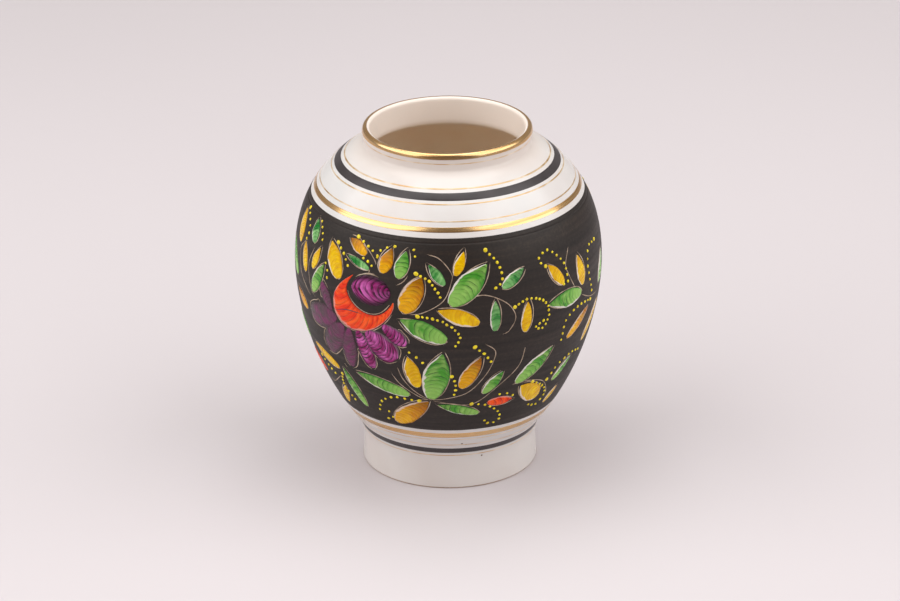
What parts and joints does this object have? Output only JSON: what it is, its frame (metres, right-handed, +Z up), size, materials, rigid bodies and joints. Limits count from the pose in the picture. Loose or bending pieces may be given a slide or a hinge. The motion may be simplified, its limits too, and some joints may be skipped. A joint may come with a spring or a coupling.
{
  "type": "vase",
  "caption": "Squat shouldered ceramic vase with a wide neck and a foot ring, a matt black painted band with enamel leaves and a rose, and gold rings.",
  "frame": {"origin": "centre of the foot ring's rest plane, on the vase's axis", "axes": "+Z up the vase's axis, -Y towards the front of the painting, with the rose to the left of it"},
  "size_m": [0.1546, 0.1556, 0.18],
  "materials": {
    "white_glaze": "thick white glaze, glossy, bare clay at the foot edge",
    "black_slip": "matt black slip, lightly brushed, satin sheen",
    "black_enamel": "glossy black enamel line",
    "gold_lustre": "burnished gold lustre fired on the glaze",
    "yellow_glaze": "glossy brushed yellow glaze",
    "green_glaze": "glossy brushed green glaze",
    "ochre_glaze": "glossy brushed ochre glaze",
    "red_glaze": "glossy brushed orange-red glaze",
    "purple_glaze": "glossy brushed purple glaze over black"
  },
  "bodies": {
    "root": {"ceramic_body": "white_glaze", "black_band": "black_slip", "gold_rim": "gold_lustre", "foot_black_ring": "black_enamel", "foot_gold_band": "gold_lustre", "foot_gold_line_lower": "gold_lustre", "foot_gold_line_middle": "gold_lustre", "foot_gold_line_upper": "gold_lustre", "green_leaf_1": "green_glaze", "green_leaf_10": "green_glaze", "green_leaf_11": "green_glaze", "green_leaf_12": "green_glaze", "green_leaf_13": "green_glaze", "green_leaf_14": "green_glaze", "green_leaf_15": "green_glaze", "green_leaf_16": "green_glaze", "green_leaf_17": "green_glaze", "green_leaf_2": "green_glaze", "green_leaf_3": "green_glaze", "green_leaf_4": "green_glaze", "green_leaf_5": "green_glaze", "green_leaf_6": "green_glaze", "green_leaf_7": "green_glaze", "green_leaf_8": "green_glaze", "green_leaf_9": "green_glaze", "neck_gold_line": "gold_lustre", "ochre_leaf_1": "ochre_glaze", "ochre_leaf_2": "ochre_glaze", "ochre_leaf_3": "ochre_glaze", "ochre_leaf_4": "ochre_glaze", "ochre_leaf_5": "ochre_glaze", "ochre_leaf_6": "ochre_glaze", "red_leaf_1": "red_glaze", "rose_cup_petal": "red_glaze", "rose_heart": "purple_glaze", "rose_petal_bottom": "purple_glaze", "rose_petal_bottom_slim": "purple_glaze", "rose_petal_left": "purple_glaze", "rose_petal_lower_left": "purple_glaze", "rose_petal_lower_right": "purple_glaze", "rose_petal_right": "purple_glaze", "rose_petal_upper_left": "purple_glaze", "shoulder_black_ring": "black_enamel", "shoulder_gold_band": "gold_lustre", "shoulder_gold_line_lower": "gold_lustre", "shoulder_gold_line_middle": "gold_lustre", "shoulder_gold_line_upper": "gold_lustre", "yellow_leaf_1": "yellow_glaze", "yellow_leaf_10": "yellow_glaze", "yellow_leaf_11": "yellow_glaze", "yellow_leaf_12": "yellow_glaze", "yellow_leaf_2": "yellow_glaze", "yellow_leaf_3": "yellow_glaze", "yellow_leaf_4": "yellow_glaze", "yellow_leaf_5": "yellow_glaze", "yellow_leaf_6": "yellow_glaze", "yellow_leaf_7": "yellow_glaze", "yellow_leaf_8": "yellow_glaze", "yellow_leaf_9": "yellow_glaze"}
  },
  "joints": []
}
